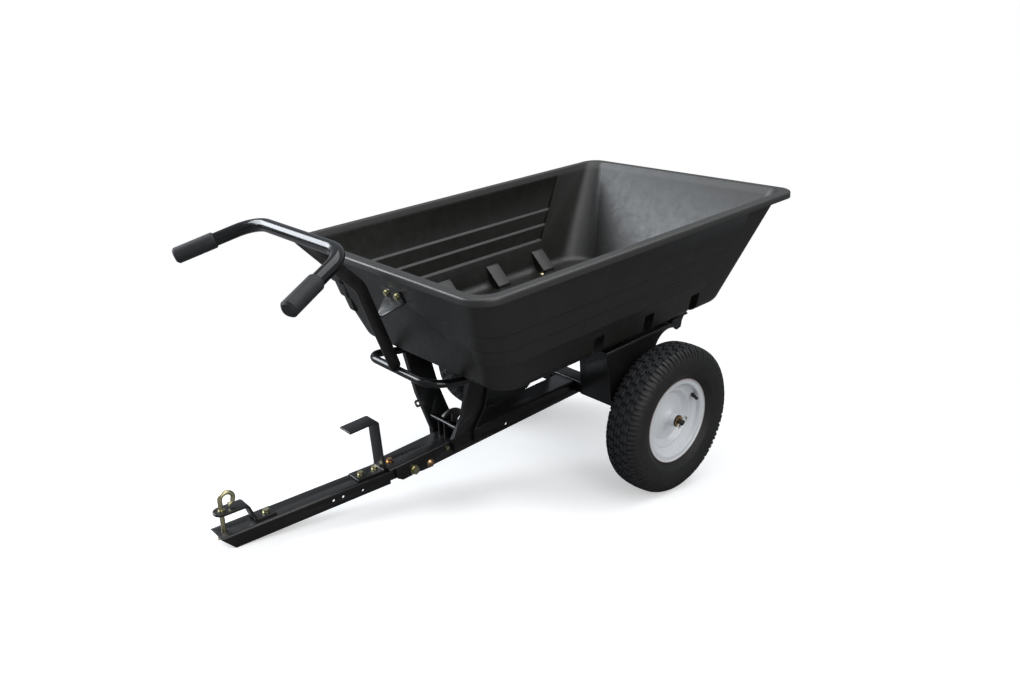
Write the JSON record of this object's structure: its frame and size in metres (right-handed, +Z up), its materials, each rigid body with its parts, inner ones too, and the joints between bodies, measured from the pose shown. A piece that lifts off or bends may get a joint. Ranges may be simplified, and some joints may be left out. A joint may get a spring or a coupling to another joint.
{
  "type": "garden cart",
  "caption": "Tow-behind poly garden cart: tipping moulded tub on a steel two-wheel frame, push handle, folding tongue with hitch pin, pneumatic wheels.",
  "frame": {"origin": "centre of the overall bounding box, at ground level; the cart stands on both wheels and the tip of its tongue", "axes": "+Z up, -Y towards the hitch at the tongue's front, +X to the side where the lock bolt's hex head is"},
  "size_m": [0.807, 1.5046, 0.7981],
  "materials": {
    "frame_black": "semi-gloss black powder coat",
    "tube_gloss": "gloss black powder coat",
    "tub_plastic": "satin moulded polyethylene",
    "zinc": "clear zinc plate",
    "yellow_zinc": "yellow zinc plate",
    "copper_wire": "copper-gold spring wire",
    "spring_dark": "oiled spring steel",
    "tyre_rubber": "matt charcoal rubber",
    "rim_white": "gloss white enamel",
    "bush_black": "moulded nylon",
    "soft_rubber": "matt soft rubber"
  },
  "bodies": {
    "chassis": {"drawbar": "frame_black", "axle_channel": "frame_black", "side_plate_left": "frame_black", "side_plate_right": "frame_black", "wing_left": "frame_black", "wing_right": "frame_black", "axle_rod": "zinc", "axle_washers": "zinc", "axle_clips": "zinc", "pivot_rod": "zinc", "fold_pin": "zinc", "fold_spacers": "zinc", "stop_bolt": "yellow_zinc", "latch_pin": "zinc", "anchor_bolt": "zinc"},
    "tongue_arm": {"tongue": "frame_black", "stand_strap": "frame_black", "stand_bolts": "yellow_zinc", "hitch_strap": "frame_black", "hitch_bolt": "yellow_zinc", "lock_bolt": "yellow_zinc"},
    "bed": {"tub": "tub_plastic", "under_frame": "frame_black", "brace_left": "frame_black", "brace_right": "frame_black", "catch_pin": "zinc", "lock_tab": "zinc", "hinge_bracket_left": "frame_black", "hinge_bracket_right": "frame_black", "handle_stem": "frame_black", "handle_bar": "tube_gloss", "grip_left": "soft_rubber", "grip_right": "soft_rubber", "stem_bracket": "frame_black", "tab_bolts": "yellow_zinc", "floor_bolts": "yellow_zinc"},
    "latch": {"latch_hook": "zinc", "latch_spring": "spring_dark"},
    "wheel_right": {"tyre_right": "tyre_rubber", "rim_right": "rim_white", "bushes_right": "bush_black", "valve_right": "soft_rubber"},
    "wheel_left": {"tyre_left": "tyre_rubber", "rim_left": "rim_white", "bushes_left": "bush_black", "valve_left": "soft_rubber"},
    "hitch_pin_body": {"hitch_pin": "yellow_zinc"},
    "hitch_clip_body": {"hitch_clip": "copper_wire"}
  },
  "joints": [
    {"name": "bed_tip", "type": "hinge", "parent": "chassis", "child": "bed", "pos_m": [0, 0.42218, 0.42756], "axis": [-1, 0, 0], "range_deg": [0, 80]},
    {"name": "tongue_fold", "type": "hinge", "parent": "chassis", "child": "tongue_arm", "pos_m": [0, -0.19835, 0.07813], "axis": [1, 0, 0], "range_deg": [0, 166]},
    {"name": "latch_turn", "type": "hinge", "parent": "chassis", "child": "latch", "pos_m": [0, -0.10526, 0.1493], "axis": [1, 0, 0], "range_deg": [0, 32]},
    {"name": "wheel_spin_right", "type": "hinge", "parent": "chassis", "child": "wheel_right", "pos_m": [0.352, 0.33664, 0.203], "axis": [1, 0, 0], "continuous": true},
    {"name": "wheel_spin_left", "type": "hinge", "parent": "chassis", "child": "wheel_left", "pos_m": [-0.352, 0.33664, 0.203], "axis": [1, 0, 0], "continuous": true},
    {"name": "hitch_pin_lift", "type": "slide", "parent": "tongue_arm", "child": "hitch_pin_body", "axis": [0, -0.1176, 0.9931], "range_m": [0, 0.006]},
    {"name": "hitch_clip_pull", "type": "slide", "parent": "hitch_pin_body", "child": "hitch_clip_body", "axis": [0, -0.9931, -0.1176], "range_m": [0, 0.03]}
  ]
}
